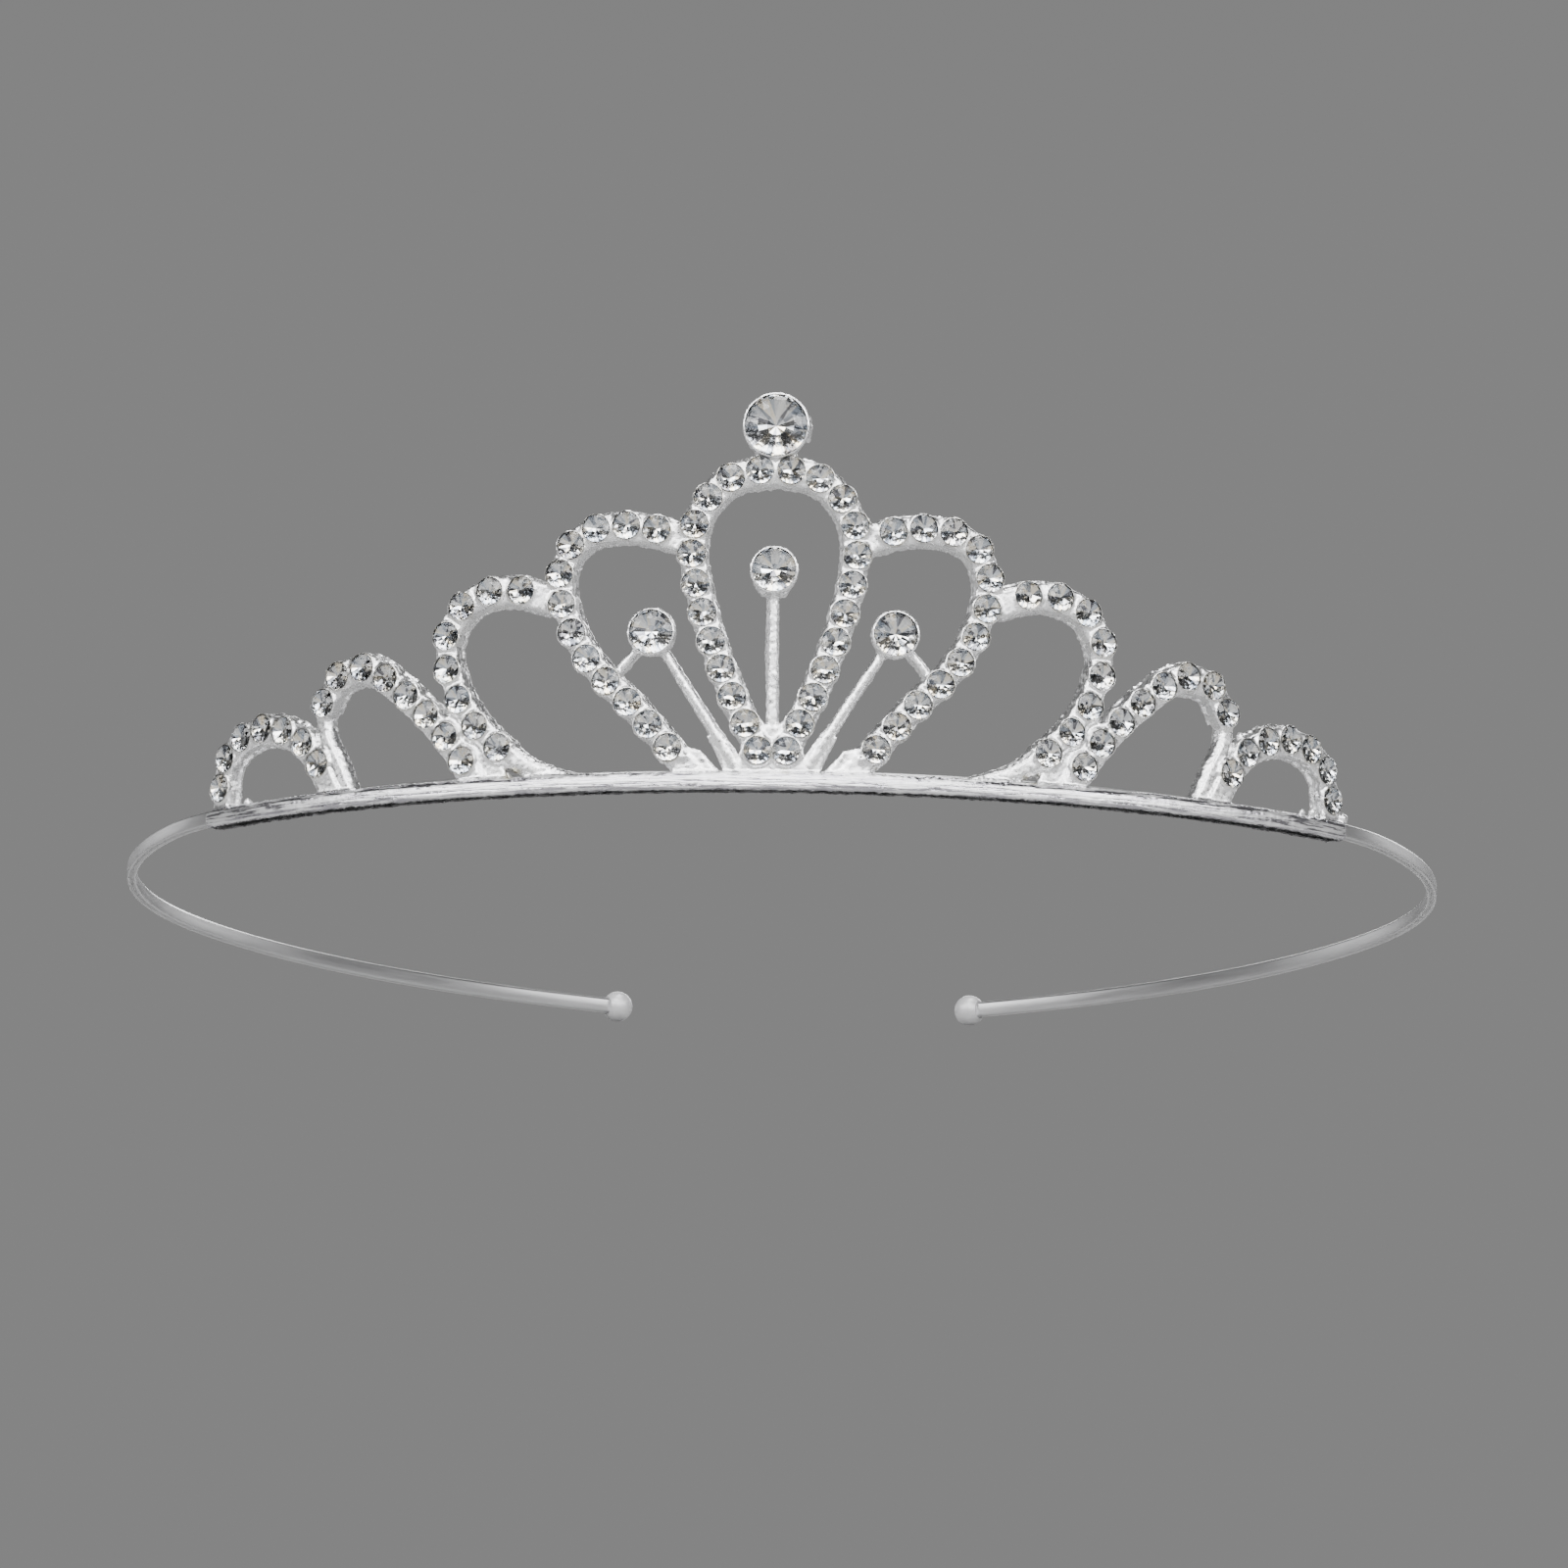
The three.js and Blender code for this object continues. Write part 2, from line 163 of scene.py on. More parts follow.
WEB_BACK = -1.6

# Fins left by the mould's parting line, in the same form as the bare strips, not mirrored.
FINS = [
    ([(-0.62, 20.3), (-0.66, 14), (-0.5, 7.5)], (0.3, 0.3), -1.5, -0.95),
    ([(-9.0, 10.6), (-6.6, 6.6), (-5.7, 4.2)], (0.4, 0.4), -1.5, -0.95),
    ([(10.6, 12.9), (7.4, 7.6)], (0.3, 0.3), -1.5, -0.95),
    ([(3.35, 36.2), (3.62, 37.8), (3.4, 39.0)], (0.3, 0.3), -1.2, -0.5),
]

# Beads of metal left by the mould's parting line: u, v, w and radius.
FLASH_BEADS = [
    (-9.1, 3.5, -0.2, 0.5),
    (9.4, 3.4, -0.2, 0.5),
    (-60.6, 2.0, 0.1, 0.45),
    (62.0, 2.3, 0.1, 0.45),
    (60.4, 2.1, 0.2, 0.4),
    (67.0, 2.3, -0.2, 0.7),
    (24.0, 18.9, -0.6, 0.45),
    (52.3, 9.1, -0.6, 0.45),
]

# Old glue: drops of it (u, v and radius); and how far a dark film reaches from a pocket's edge, which is
# glue and painted shade, a dark ring where the stone meets its setting.
GLUE_DROPS = [(-27.6, 2.1, 1.0), (27.2, 2.0, 0.8), (1.4, 2.0, 0.7), (11.6, 2.0, 0.7), (-3.6, 3.6, 0.5)]
GLUE_AND_SHADE_REACH = 0.16

VOXEL = 0.16
GRAIN = [(0.07, 0.8), (0.1, 2.6)]  # how far the cast surface swells, and in how short waves
FACE_GRAIN = 0.2  # the share of the grain that the flat faces keep

# ---- Stones ----

# Each cut's radius, height of the table over the girdle, depth under it, facets round, and how
# far in front of the casting's face its girdle lies.
CUP_GIRDLE = 0.55
SMALL = {"radius": 1.41, "rise": 0.36, "depth": 0.52, "facets": 8, "girdle_at": 0.14}
PIN = {"radius": 2.25, "rise": 0.55, "depth": 0.82, "facets": 12, "girdle_at": CUP_GIRDLE}
TOP = {"radius": 3.2, "rise": 0.75, "depth": 1.18, "facets": 14, "girdle_at": CUP_GIRDLE}
GIRDLE_SHARE = 0.1  # the girdle's thickness, as a share of the stone's radius
STONE_LEAN = 0.03  # how far off square a stone may be glued, in radians
# Painted reflections: how bright a pavilion's facets are coloured, from a bright set and a dark set that
# take turns round the stone.
FOIL_PAINTED_REFLECTION_TONES = ((0.7, 0.85, 0.85, 0.95, 1.0), (0.1, 0.2, 0.35, 0.5, 0.6))

CUP_WALL = 0.24
CUP_LIP = 0.12  # how far a cup's rim stands above the girdle
CUP_CLEARANCE = 0.05
CUP_FLOOR_GAP = 0.08
CUP_POCKET_TOP = 2.5
PIN_PLACES = {"centre_pin": (0, 22.8), "left_pin": (-12.5, 16.4), "right_pin": (12.5, 16.4)}
TOP_PLACE = (0, 37.8)

# ---- Headband in plan: tangent arcs as (radius, degrees turned), from the front round ----

SOLDER_GAP = 0.05
BAND_THICKNESS = 1.0
BAND_HEIGHT = 1.6
BAND_CORNER = 0.3
BAND_OUTER_RADIUS = BEND_RADIUS + RAIL_BACK - SOLDER_GAP
BAND_FRONT_RADIUS = BAND_OUTER_RADIUS - BAND_THICKNESS / 2
BAND_ARCS = [(BAND_FRONT_RADIUS, 50.6), (38, 19), (88, 20.4), (82, 20), (108, 38)]
DEGREES_A_STEP = 1.5  # the most that the band turns from one ring of its mesh to the next
DRAWN_GRAIN = (0.3, 2.5)  # how closely the steel's grain lies along the strip and across it

TIP_MOUTH = 0.98  # the radius of a ball's mouth

SOLDER_PAIRS = 7
SOLDER_SPACING = 20.5
SOLDER_HEIGHTS = (RAIL_HEIGHT * 0.36, RAIL_HEIGHT + 0.05)
SOLDER_LUMPS = (0.06, 1.3)  # how far the beads are out of shape, and in how short waves

band_low, band_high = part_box("headband_strip")
AXIS_Y = band_low.y / MM + BAND_OUTER_RADIUS
BAND_MID_HEIGHT = (band_low.z + band_high.z) / 2 / MM


# ---- Node materials ----


class NodeTree:
    """A node tree, with short ways to add and join its nodes."""

    def __init__(self, tree):
        self.nodes = tree.nodes
        self.links = tree.links

    def add(self, kind, inputs=None, **settings):
        """A new node, with its settings made and its inputs fed."""
        node = self.nodes.new(kind)
        for key, value in settings.items():
            setattr(node, key, value)
        for key, value in (inputs or {}).items():
            self.feed(node.inputs[key], value)
        return node

    def feed(self, socket, value):
        """Joins an output to the socket, or sets the socket's own value."""
        if isinstance(value, bpy.types.NodeSocket):
            self.links.new(value, socket)
        else:
            socket.default_value = value

    def position(self):
        return self.add("ShaderNodeTexCoord").outputs["Object"]

    def noise(self, scale, detail, vector=None):
        inputs = {"Scale": scale, "Detail": detail, "Vector": vector or self.position()}
        return self.add("ShaderNodeTexNoise", inputs).outputs["Fac"]

    def ramp(self, fac, *stops):
        """A colour ramp through stops of (place, colour). A new ramp already has two stops."""
        node = self.add("ShaderNodeValToRGB", {"Fac": fac})
        for i, (place, colour) in enumerate(stops):
            stop = node.color_ramp.elements[i] if i < 2 else node.color_ramp.elements.new(place)
            stop.position = place
            stop.color = (*colour, 1.0)
        return node.outputs["Color"]

    def span(self, fac, low, high, from_low=0.0, from_high=1.0):
        """A number moved from one range to another, and kept inside it."""
        inputs = {"Value": fac, "From Min": from_low, "From Max": from_high, "To Min": low, "To Max": high}
        return self.add("ShaderNodeMapRange", inputs).outputs["Result"]

    def mix(self, fac, first, second, **settings):
        """Two colours mixed. Sockets 6 and 7 are the Mix node's colours, and output 2 its result."""
        node = self.add("ShaderNodeMix", {"Factor": fac, 6: first, 7: second}, data_type="RGBA", **settings)
        return node.outputs[2]

    def blend(self, fac, first, second):
        """Two numbers mixed."""
        return self.add("ShaderNodeMix", {"Factor": fac, "A": first, "B": second}).outputs["Result"]

    def stretched(self, vector, scale):
        return self.add("ShaderNodeMapping", {"Vector": vector, "Scale": scale}).outputs["Vector"]

    def attribute(self, name):
        return self.add("ShaderNodeAttribute", attribute_name=name)


class Shader(NodeTree):
    """A material with a Principled surface."""

    def __init__(self, name):
        self.material = bpy.data.materials.new(name)
        self.material.use_nodes = True
        super().__init__(self.material.node_tree)
        self.surface = self.nodes["Principled BSDF"]

    def set(self, **inputs):
        for key, value in inputs.items():
            self.feed(self.surface.inputs[key.replace("_", " ")], value)

    def bump(self, height, distance, strength):
        inputs = {"Height": height, "Distance": distance, "Strength": strength}
        self.set(Normal=self.add("ShaderNodeBump", inputs).outputs["Normal"])


def plating_material():
    """Bright silver plating over a grainy casting, filed along the rail, with old glue in places and a
    painted shadow ring round the pockets.
    """
    s = Shader("silver_plating")
    drawing = s.attribute("drawing").outputs["Vector"]
    rail = s.attribute("rail").outputs["Fac"]
    grain = s.noise(2.6, 3, drawing)
    strokes = s.noise(1.6, 3, s.stretched(drawing, (0.16, 2.4, 2.4)))
    height = s.blend(rail, grain, s.span(strokes, -0.5, 1.5, 0.3, 0.7))
    bright = s.ramp(s.noise(0.5, 3, drawing), (0.3, (0.86, 0.86, 0.88)), (0.65, (0.97, 0.97, 0.97)))
    worn = s.ramp(strokes, (0.42, (0.52, 0.51, 0.55)), (0.58, (0.96, 0.96, 0.97)))
    metal = s.mix(rail, bright, worn)
    glue_and_painted_shade = s.attribute("glue_and_painted_shade").outputs["Fac"]
    # The dark olive colour is glue in the drops, and glue with painted shade in the rings at the pockets'
    # edges.
    s.set(Base_Color=s.mix(glue_and_painted_shade, metal, (0.36, 0.33, 0.22, 1.0)), Metallic=1.0)
    s.set(Roughness=s.span(height, 0.2, 0.4, 0.3, 0.7))
    s.bump(height, 0.00003, 0.4)
    return s.material


def steel_material():
    """Nickel-plated spring steel, drawn along its length."""
    s = Shader("spring_steel")
    along = s.attribute("drawn").outputs["Vector"]
    lines = s.noise(1.0, 3, along)
    cloud = s.noise(60, 2)
    s.set(Base_Color=s.ramp(cloud, (0.3, (0.58, 0.58, 0.59)), (0.7, (0.70, 0.70, 0.71))), Metallic=1.0)
    s.set(Roughness=s.span(lines, 0.28, 0.36, 0.3, 0.7))
    s.bump(lines, 0.00001, 0.2)
    return s.material


def tip_material():
    """The smooth pale coating of the ball tips, faintly uneven as dipped."""
    s = Shader("tip_coating")
    dip = s.noise(700, 2)
    s.set(Base_Color=s.ramp(dip, (0.3, (0.50, 0.50, 0.51)), (0.7, (0.60, 0.60, 0.61))), Metallic=0.35)
    s.set(Roughness=s.span(dip, 0.34, 0.5), Coat_Weight=0.3, Coat_Roughness=0.2)
    s.bump(dip, 0.00002, 0.4)
    return s.material


def crystal_material():
    """Clear lead crystal. Its tint drifts a little from stone to stone."""
    s = Shader("clear_crystal")
    drift = s.noise(240, 1)
    s.set(Base_Color=s.ramp(drift, (0.35, (0.96, 0.98, 1.0)), (0.65, (1.0, 0.985, 0.95))))
    s.set(Roughness=s.span(s.noise(1800, 2), 0.0, 0.03), Transmission_Weight=1.0, IOR=1.56)
    return s.material


def foil_material():
    """The mirror backing under a stone's pavilion, each facet's colour a painted reflection, bright or
    dark, a little different from the next.
    """
    s = Shader("foil_backing_painted_reflections")
    facet_painted_reflection = s.attribute("facet_painted_reflection").outputs["Fac"]
    # Each facet's value picks a painted reflection tone, from dark grey to white, some faintly blue or
    # warm.
    silver = s.ramp(
        facet_painted_reflection,
        (0.1, (0.22, 0.22, 0.24)),
        (0.3, (0.54, 0.59, 0.66)),
        (0.6, (0.82, 0.83, 0.85)),
        (0.85, (0.98, 0.98, 0.98)),
        (1.0, (1.0, 0.93, 0.80)),
    )
    s.set(Base_Color=silver, Metallic=1.0)
    s.set(Roughness=s.span(s.noise(1500, 2), 0.02, 0.1))
    return s.material


def solder_material():
    """Dull soft solder."""
    s = Shader("soft_solder")
    skin = s.noise(1200, 3)
    s.set(Base_Color=s.ramp(skin, (0.3, (0.50, 0.50, 0.50)), (0.7, (0.68, 0.68, 0.68))), Metallic=1.0)
    s.set(Roughness=s.span(skin, 0.35, 0.6))
    s.bump(skin, 0.00005, 0.5)
    return s.material


# ---- Flat drawing to bent space ----


def bent(u, v, w):
    """From the flat drawing to the assembled object, in millimetres."""
    angle = u / BEND_RADIUS
    radius = BEND_RADIUS + w
    return Vector((radius * math.sin(angle), AXIS_Y - radius * math.cos(angle), v))


def facing(u, v, w):
    """A matrix that puts local +Z square out of the bent face and local +Y upright."""
    angle = u / BEND_RADIUS
    along = Vector((math.cos(angle), math.sin(angle), 0))
    out = Vector((math.sin(angle), -math.cos(angle), 0))
    turn = Matrix((along, Vector((0, 0, 1)), out)).transposed().to_4x4()
    return Matrix.Translation(bent(u, v, w)) @ turn


class Centreline:
    """A uniform Catmull-Rom spline through flat points, measured by distance."""

    PER_SPAN = 40
    TANGENT_REACH = 0.1

    def __init__(self, points, side=1, lead_in=None):
        through = [lead_in, *points] if lead_in else list(points)
        knots = np.array([(side * u, v) for u, v in through], float)
        padded = np.vstack([knots[:1], knots, knots[-1:]])
        t = np.linspace(0, 1, self.PER_SPAN, endpoint=False)[:, None]
        spans = [self.span(padded[i : i + 4], t) for i in range(len(knots) - 1)]
        samples = np.vstack([*spans, knots[-1:]])
        self.samples = samples[self.PER_SPAN :] if lead_in else samples
        steps = np.linalg.norm(np.diff(self.samples, axis=0), axis=1)
        self.distances = np.concatenate([[0.0], np.cumsum(steps)])
        self.length = self.distances[-1]

    @staticmethod
    def span(four, t):
        """The curve between the middle two of four knots."""
        p0, p1, p2, p3 = four
        start = (p2 - p0) / 2
        end = (p3 - p1) / 2
        cubic = 2 * p1 - 2 * p2 + start + end
        square = -3 * p1 + 3 * p2 - 2 * start - end
        return cubic * t**3 + square * t**2 + start * t + p1

    def at(self, distance):
        return np.array([np.interp(distance, self.distances, self.samples[:, k]) for k in (0, 1)])

    def tangent(self, distance):
        ahead = self.at(min(self.length, distance + self.TANGENT_REACH))
        behind = self.at(max(0, distance - self.TANGENT_REACH))
        return (ahead - behind) / np.linalg.norm(ahead - behind)


def stone_places(arch, side):
    """Where an arch's stones sit, evenly spaced along its centreline."""
    line = Centreline(arch["points"], side, arch.get("lead_in"))
    distances = np.linspace(arch["first"], line.length - arch["last"], arch["stones"])
    return [tuple(line.at(d)) for d in distances]


def small_stones():
    """Every small stone's name and place, arch by arch, in the order of the arch's own points."""
    found = {}
    for name, arch in ARCHES.items():
        for hand, side in (("right", 1), ("left", -1)):
            for i, place in enumerate(stone_places(arch, side), 1):
                found[f"{name}_{hand}_stone_{i:02d}"] = place
    return found


# ---- Mesh building ----


def loft(bm, rings):
    """A closed shell through rings of points, capped at both ends. Returns the rings' vertices."""
    loops = [[bm.verts.new(point) for point in ring] for ring in rings]
    count = len(loops[0])
    for here, there in zip(loops, loops[1:]):
        for i in range(count):
            j = (i + 1) % count
            bm.faces.new((here[i], here[j], there[j], there[i]))
    bm.faces.new(loops[0][::-1])
    bm.faces.new(loops[-1])
    return loops


def circle(radius, count, height, matrix, phase=0.0):
    """A ring of points round a matrix's own axis."""
    angles = [phase + 2 * math.pi * i / count for i in range(count)]
    return [matrix @ Vector((radius * math.cos(a), radius * math.sin(a), height)) for a in angles]


def as_mesh(name, bm):
    """Turns a bmesh into a mesh, and frees it."""
    mesh = bpy.data.meshes.new(name)
    bm.to_mesh(mesh)
    bm.free()
    return mesh


def in_scene(name, data):
    """A new object in the scene that shows a mesh, a light or a camera."""
    made = bpy.data.objects.new(name, data)
    bpy.context.scene.collection.objects.link(made)
    return made


def finished(name, mesh, materials, smooth_angle=None):
    """Turns a mesh in millimetres into a piece in metres that rides on the body."""
    mesh.transform(Matrix.Scale(MM, 4))
    for material in materials:
        mesh.materials.append(material)
    if smooth_angle is not None:
        mesh.shade_smooth()
        mesh.set_sharp_from_angle(angle=math.radians(smooth_angle))
    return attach(in_scene(name, mesh), BODY)


def face_outwards(bm):
    bmesh.ops.recalc_face_normals(bm, faces=bm.faces)


# ---- Casting ----


def ribbon(bm, line, side, face, trim=0.0):
    """An arch's metal, with a ragged fin along its rear edges."""
    length = line.length - 2 * trim
    steps = round(length / RIBBON_STEP)
    rings = []
    for i in range(steps + 1):
        distance = trim + length * i / steps
        centre = line.at(distance)
        tangent = line.tangent(distance)
        outwards = side * np.array([-tangent[1], tangent[0]])
        level = max(0.0, outwards[1])
        ragged = FIN_ROUGHNESS * noise.noise(Vector((*centre, face)) * FIN_WAVES)
        inner = []
        outer = []
        for inside, outside, depth in RIBBON_SECTION:
            shift = ragged if depth < FIN_FRONT else 0.0
            w = max(face + depth, CAST_BACK)
            inner.append((-inside - RIBBON_CROWN[0] * level - shift, w))
            outer.append((outside + RIBBON_CROWN[1] * level - shift, w))
        ring = []
        for across, w in inner + outer[::-1]:
            u, v = centre + across * outwards
            ring.append(bent(u, max(v, FOOT_LEVEL), w))
        rings.append(ring)
    loft(bm, rings)


def bare_strip(bm, strip, side):
    """A strut or leg with rounded edges."""
    points, (start, end), back, front = strip
    line = Centreline(points, side)
    steps = max(2, round(line.length / STRIP_STEP))
    rings = []
    for i in range(steps + 1):
        along = i / steps
        centre = line.at(along * line.length)
        tangent = line.tangent(along * line.length)
        across = np.array([-tangent[1], tangent[0]])
        half = (start + (end - start) * along) / 2
        ring = []
        for share, depth in STRIP_SECTION:
            u, v = centre + share * half * across
            ring.append(bent(u, max(v, FOOT_LEVEL), front + depth * (back - front)))
        rings.append(ring)
    loft(bm, rings)


def web(bm, corners, front, side):
    """A flat fillet between legs."""
    rings = [[bent(side * u, v, w) for u, v in corners] for w in (WEB_BACK, front)]
    loft(bm, rings)


def setting(bm, u, v):
    """The cast cup round one small stone, which scallops the arch's outer edge."""
    matrix = facing(u, v, 0)
    profile = [
        (SETTING_RADIUS, CAST_BACK + 0.15),
        (SETTING_RADIUS, 0.0),
        (SETTING_RADIUS - SETTING_CHAMFER, SETTING_FACE),
    ]
    loft(bm, [circle(radius, 24, w, matrix) for radius, w in profile])


def big_cup(bm, place, stone):
    """The cup of a pin's stone or of the top stone, drawn in behind the stone."""
    matrix = facing(*place, 0)
    outer = stone["radius"] + CUP_WALL
    rim = stone["girdle_at"] + CUP_LIP
    profile = [
        (outer * 0.72, CAST_BACK),
        (outer * 0.93, CAST_BACK + 0.5),
        (outer, -0.3),
        (outer, rim - 0.08),
        (outer - 0.08, rim),
    ]
    loft(bm, [circle(radius, 40, w, matrix) for radius, w in profile])


def rail(bm):
    """The rail along the arches' feet, rounded along its front edges, a step to each millimetre."""
    section = [
        (RAIL_BACK, 0),
        (RAIL_FRONT - 0.25, 0),
        (RAIL_FRONT - 0.07, RAIL_HEIGHT * 0.06),
        (RAIL_FRONT, RAIL_HEIGHT * 0.18),
        (RAIL_FRONT, RAIL_HEIGHT * 0.65),
        (RAIL_FRONT - 0.2, RAIL_HEIGHT * 0.9),
        (RAIL_FRONT - 0.55, RAIL_HEIGHT),
        (RAIL_BACK, RAIL_HEIGHT),
    ]
    steps = round(2 * RAIL_HALF_LENGTH)
    places = [RAIL_HALF_LENGTH * (2 * i / steps - 1) for i in range(steps + 1)]
    loft(bm, [[bent(u, v, w) for w, v in section] for u in places])


def casting_shells():
    """All the casting's solids, overlapping, before they are fused."""
    bm = bmesh.new()
    rail(bm)
    centre_loop, *arches = ARCHES.values()
    over_the_top = [(-u, v) for u, v in centre_loop["points"][:0:-1]] + centre_loop["points"]
    ribbon(bm, Centreline(over_the_top), 1, 0.0, LOOP_TRIM)
    for side in (1, -1):
        for i, arch in enumerate(arches):
            face = -ARCH_STEP if i % 2 == 0 else 0.0
            ribbon(bm, Centreline(arch["points"], side), side, face)
        for strip in BARE_STRIPS:
            bare_strip(bm, strip, side)
        for corners, front in SIDE_WEBS:
            web(bm, corners, front, side)
    bare_strip(bm, CENTRE_STEM, 1)
    for corners, front in MIDDLE_WEBS:
        web(bm, corners, front, 1)
    for u, v in small_stones().values():
        setting(bm, u, v)
    for place in PIN_PLACES.values():
        big_cup(bm, place, PIN)
    big_cup(bm, TOP_PLACE, TOP)
    for fin in FINS:
        bare_strip(bm, fin, 1)
    for u, v, w, radius in FLASH_BEADS:
        centre = Matrix.Translation(bent(u, v, w))
        bmesh.ops.create_icosphere(bm, subdivisions=2, radius=radius, matrix=centre)
    face_outwards(bm)
    return bm


def pocket_cutters():
    """The round pockets that the stones sit in."""
    bm = bmesh.new()
    for u, v in small_stones().values():
        rings = [circle(POCKET_RADIUS, 28, w, facing(u, v, 0)) for w in (POCKET_FLOOR, POCKET_TOP)]
        loft(bm, rings)
    for place, stone in [*((p, PIN) for p in PIN_PLACES.values()), (TOP_PLACE, TOP)]:
        floor = stone["girdle_at"] - stone["depth"] - CUP_FLOOR_GAP
        radius = stone["radius"] + CUP_CLEARANCE
        loft(bm, [circle(radius, 48, w, facing(*place, 0)) for w in (floor, CUP_POCKET_TOP)])
    face_outwards(bm)
    return bm


def applied(obj):
    """The object's mesh with its modifiers applied, and the object removed."""
    graph = bpy.context.evaluated_depsgraph_get()
    mesh = bpy.data.meshes.new_from_object(obj.evaluated_get(graph))
    mesh.materials.clear()
    bpy.data.objects.remove(obj)
    return mesh


def fused(bm):
    """Overlapping shells turned into one smooth skin."""
    shells = in_scene("casting_shells", as_mesh("casting_shells", bm))
    remesh = shells.modifiers.new("fuse", "REMESH")
    remesh.mode = "VOXEL"
    remesh.voxel_size = VOXEL
    soften = shells.modifiers.new("soften", "SMOOTH")
    soften.factor = 0.5
    soften.iterations = 2
    return applied(shells)


def cast_grain(mesh):
    """Pushes the surface in and out a little, more on the walls than on the flat front and back."""
    mesh.update()
    normals = [v.normal.copy() for v in mesh.vertices]
    for vertex, normal in zip(mesh.vertices, normals):
        out = Vector((vertex.co.x, vertex.co.y - AXIS_Y, 0)).normalized()
        wall = 1 - (1 - FACE_GRAIN) * normal.dot(out) ** 2
        swell = sum(reach * noise.noise(vertex.co * waves) for reach, waves in GRAIN)
        vertex.co += normal * swell * wall


def with_pockets(mesh):
    """The casting with its pockets cut."""
    casting = in_scene("casting_fused", mesh)
    cutters = in_scene("pockets", as_mesh("pockets", pocket_cutters()))
    cut = casting.modifiers.new("pockets", "BOOLEAN")
    cut.operation = "DIFFERENCE"
    cut.solver = "MANIFOLD"
    cut.object = cutters
    mesh = applied(casting)
    bpy.data.objects.remove(cutters)
    return mesh


def glue_and_painted_shade_amount(co, flat, depth):
    """How much of the dark glue colour lies at each vertex: glue and painted shade in patches at the
    pockets' edges, and glue in drops.
    """
    gap = np.full(len(flat), np.inf)
    for u, v in small_stones().values():
        gap = np.minimum(gap, np.abs(np.hypot(flat[:, 0] - u, flat[:, 1] - v) - POCKET_RADIUS))
    up_front = np.clip((depth + 1.1) / 0.6, 0, 1)  # none below 1.1 mm deep, all above 0.5 mm
    # The ring at a pocket's edge is painted shade where the stone meets its setting, as well as glue.
    glue_and_shade_ring = np.clip(1 - gap / GLUE_AND_SHADE_REACH, 0, 1) * up_front
    patchy = np.array([0.5 + 0.5 * noise.noise(Vector(p) * 0.35) for p in co])
    amount = glue_and_shade_ring * np.clip(patchy * 1.6 - 0.4, 0, 1) * 0.8
    for u, v, radius in GLUE_DROPS:
        drop = np.clip(1.6 * (1 - np.hypot(flat[:, 0] - u, (flat[:, 1] - v) * 1.6) / radius), 0, 0.8)
        amount = np.maximum(amount, drop * patchy * 1.4)
    return amount


def mark_casting(mesh):
    """Tells the plating where each vertex lies in the flat drawing, on the rail, and under glue or painted
    shade.
    """
    co = np.empty(len(mesh.vertices) * 3)
    mesh.vertices.foreach_get("co", co)
    co = co.reshape(-1, 3)
    ahead = AXIS_Y - co[:, 1]
    depth = np.hypot(co[:, 0], ahead) - BEND_RADIUS
    flat = np.column_stack([BEND_RADIUS * np.arctan2(co[:, 0], ahead), co[:, 2]])
    glue_and_painted_shade = mesh.attributes.new("glue_and_painted_shade", "FLOAT", "POINT")
    glue_and_painted_shade.data.foreach_set("value", glue_and_painted_shade_amount(co, flat, depth))
    drawing = mesh.attributes.new("drawing", "FLOAT_VECTOR", "POINT")
    drawing.data.foreach_set("vector", np.column_stack([flat, depth]).ravel())
    on_rail = mesh.attributes.new("rail", "FLOAT", "POINT")
    on_rail.data.foreach_set("value", np.clip((RAIL_HEIGHT + 0.1 - flat[:, 1]) / 0.2, 0, 1))


def make_casting(material):
    """The arches, the rail, the stems and the cups, cast in one."""
    mesh = fused(casting_shells())
    cast_grain(mesh)
    mesh = with_pockets(mesh)
    mark_casting(mesh)
    casting = finished("openwork_casting", mesh, [material], smooth_angle=38)
    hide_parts("arch_casting")


# ---- Stones ----


def facet_rings(stone):
    """The cut's rings of corners, from table to point: radius, height, corners, phase in facets."""
    r, rise, depth, n = (stone[key] for key in ("radius", "rise", "depth", "facets"))
    girdle = GIRDLE_SHARE * r
    return [
        (0.6 * r, rise, n, 0.0),
        (0.84 * r, rise * 0.52, n, 0.5),
        (r, 0.0, 2 * n, 0.0),
        (r, -girdle, 2 * n, 0.0),
        (0.3 * r, -girdle - (depth - girdle) * 0.8, n, 0.5),
    ]


def cut_stone(stone):
    """A convex solid with flat facets, round local +Z, with its girdle's top at height 0."""
    bm = bmesh.new()
    for radius, height, corners, phase in facet_rings(stone):
        for point in circle(radius, corners, height, Matrix(), phase * 2 * math.pi / corners):
            bm.verts.new(point)
    bm.verts.new((0, 0, -stone["depth"]))
    bmesh.ops.convex_hull(bm, input=bm.verts)
    bmesh.ops.dissolve_limit(bm, angle_limit=math.radians(1), verts=bm.verts, edges=bm.edges)
    face_outwards(bm)
    return bm


def silver_pavilion_and_paint_reflections(bm, stone, rng):
    """Gives the facets under the girdle the foil, and paints each one a reflection tone, bright and dark
    taking turns round the stone.
    """
    painted_reflection = bm.faces.layers.float.new("facet_painted_reflection")
    for face in bm.faces:
        middle = face.calc_center_median()
        pavilion = middle.z < -1.1 * GIRDLE_SHARE * stone["radius"]
        sector = math.floor(math.atan2(middle.y, middle.x) / (2 * math.pi) * stone["facets"])
        face.material_index = 1 if pavilion else 0
        # Painted reflection: a bright or dark tone by sector, in place of the light and dark that the facet
        # mirrors.
        face[painted_reflection] = rng.choice(FOIL_PAINTED_REFLECTION_TONES[sector % 2]) if pavilion else 1.0


